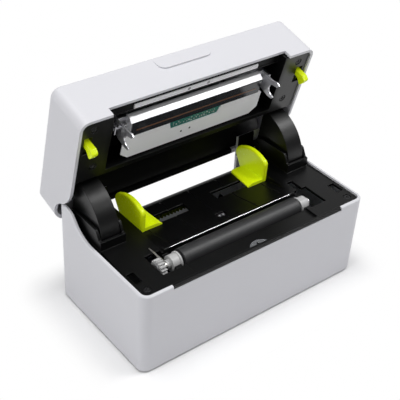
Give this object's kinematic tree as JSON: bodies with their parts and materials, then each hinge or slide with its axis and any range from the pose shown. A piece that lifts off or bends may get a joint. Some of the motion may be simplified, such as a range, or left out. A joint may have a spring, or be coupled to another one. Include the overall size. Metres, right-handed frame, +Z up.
{
  "type": "thermal label printer",
  "caption": "Desktop thermal label printer with its lid swung open, showing the platen roller, sliding media guides, sprung print head, latches and cheek drums at the hinge.",
  "frame": {"origin": "on the floor under the middle of the whole outline with the lid open", "axes": "+X to the printer's right, +Y to its back, +Z up"},
  "size_m": [0.215, 0.1414, 0.1819],
  "materials": {
    "shell_white": "fine satin white moulding",
    "liner_black": "satin black moulding",
    "lime": "glossy lime moulding",
    "platen_rubber": "smooth black rubber",
    "white_pom": "white acetal",
    "steel": "bright steel",
    "zinc_sheet": "plated sheet steel",
    "aluminium": "bright machined aluminium",
    "ceramic": "dark glazed ceramic",
    "heater": "brown glazed heater line",
    "pcb_green": "green board",
    "motor_metal": "dark steel can",
    "foot_rubber": "soft dark rubber",
    "clear_lens": "clear moulding",
    "connector_black": "black nylon",
    "black_screw": "blackened steel screw"
  },
  "bodies": {
    "base": {"base_shell": "shell_white", "bottom_pan": "connector_black", "rubber_feet": "foot_rubber", "bottom_screws": "steel", "deck": "liner_black", "deck_screws": "black_screw", "media_sensor": "connector_black", "label_sensor_lens": "clear_lens", "hinge_pins": "steel", "bushing_left": "white_pom", "bushing_right": "white_pom", "ground_spring": "steel", "gear_plate": "zinc_sheet", "idler_stud": "steel", "bracket_screws": "steel", "drive_motor": "motor_metal", "pinion_clip": "steel", "main_board": "pcb_green", "board_screws": "steel", "board_components": "connector_black", "usb_port": "zinc_sheet", "dc_jack": "connector_black", "switch_housing": "connector_black"},
    "lid": {"lid_shell": "shell_white", "lid_liner": "liner_black", "liner_screws": "black_screw", "tear_bar": "steel", "tear_screws": "steel", "pressure_bracket": "zinc_sheet", "latch_pins": "steel", "button_board": "pcb_green", "status_light": "clear_lens"},
    "print_head": {"head_heatsink": "aluminium", "head_ceramic": "ceramic", "heater_line": "heater", "head_board": "pcb_green", "head_plate": "zinc_sheet", "head_connector": "white_pom", "fork_left": "steel", "fork_right": "steel", "head_pins": "steel", "head_springs": "steel"},
    "latch_left": {"latch_left": "lime"},
    "latch_right": {"latch_right": "lime"},
    "feed_button": {"feed_button": "lime"},
    "power_rocker": {"power_rocker": "connector_black"},
    "platen": {"platen_shaft": "steel", "platen_rubber": "platen_rubber", "platen_gear": "white_pom"},
    "idler": {"idler_gear": "white_pom"},
    "motor_pinion": {"motor_pinion": "steel", "motor_shaft": "steel"},
    "guide_left": {"guide_left": "lime"},
    "guide_right": {"guide_right": "lime"},
    "guide_pinion": {"guide_pinion": "white_pom"}
  },
  "joints": [
    {"name": "lid_hinge", "type": "hinge", "parent": "base", "child": "lid", "pos_m": [0, 0.03071, 0.0745], "axis": [1, 0, 0], "range_deg": [0, 75.5]},
    {"name": "head_press", "type": "slide", "parent": "lid", "child": "print_head", "axis": [0, 0.9681, 0.2504], "range_m": [0, 0.0015], "stiffness_N_per_m": 2000, "springref_m": -0.004, "deforming": ["head_springs"]},
    {"name": "latch_left_turn", "type": "hinge", "parent": "lid", "child": "latch_left", "pos_m": [-0.0983, 0.0219, 0.15449], "axis": [-1, 0, 0], "range_deg": [0, 6], "stiffness_Nm_per_rad": 0.05, "springref_deg": -17.19},
    {"name": "latch_right_turn", "type": "hinge", "parent": "lid", "child": "latch_right", "pos_m": [0.0983, 0.0219, 0.15449], "axis": [-1, 0, 0], "range_deg": [0, 6], "stiffness_Nm_per_rad": 0.05, "springref_deg": -17.19},
    {"name": "feed_press", "type": "slide", "parent": "lid", "child": "feed_button", "axis": [0, -0.9681, -0.2504], "range_m": [0, 0.0008], "stiffness_N_per_m": 400, "springref_m": -0.002},
    {"name": "power_tip", "type": "hinge", "parent": "base", "child": "power_rocker", "pos_m": [0.088, 0.03936, 0.022], "axis": [-1, 0, 0], "range_deg": [0, 12]},
    {"name": "platen_spin", "type": "hinge", "parent": "base", "child": "platen", "pos_m": [0, -0.04394, 0.0676], "axis": [1, 0, 0], "continuous": true},
    {"name": "idler_spin", "type": "hinge", "parent": "base", "child": "idler", "pos_m": [-0.078, -0.04289, 0.05565], "axis": [1, 0, 0], "continuous": true},
    {"name": "motor_spin", "type": "hinge", "parent": "base", "child": "motor_pinion", "pos_m": [-0.082, -0.03742, 0.04061], "axis": [1, 0, 0], "continuous": true},
    {"name": "guide_left_slide", "type": "slide", "parent": "base", "child": "guide_left", "axis": [1, 0, 0], "range_m": [0, 0.035]},
    {"name": "guide_right_slide", "type": "slide", "parent": "base", "child": "guide_right", "axis": [-1, 0, 0], "range_m": [0, 0.035]},
    {"name": "guide_pinion_spin", "type": "hinge", "parent": "base", "child": "guide_pinion", "pos_m": [0, 0.00431, 0.063], "axis": [0, 0, -1], "range_deg": [0, 340]}
  ],
  "couplings": [
    {"joint": "idler_spin", "follows": "platen_spin", "ratio": -1.1429},
    {"joint": "motor_spin", "follows": "platen_spin", "ratio": 2.6667},
    {"joint": "guide_right_slide", "follows": "guide_left_slide", "ratio": 1},
    {"joint": "guide_pinion_spin", "follows": "guide_left_slide", "rad_per_m": 166.67}
  ]
}
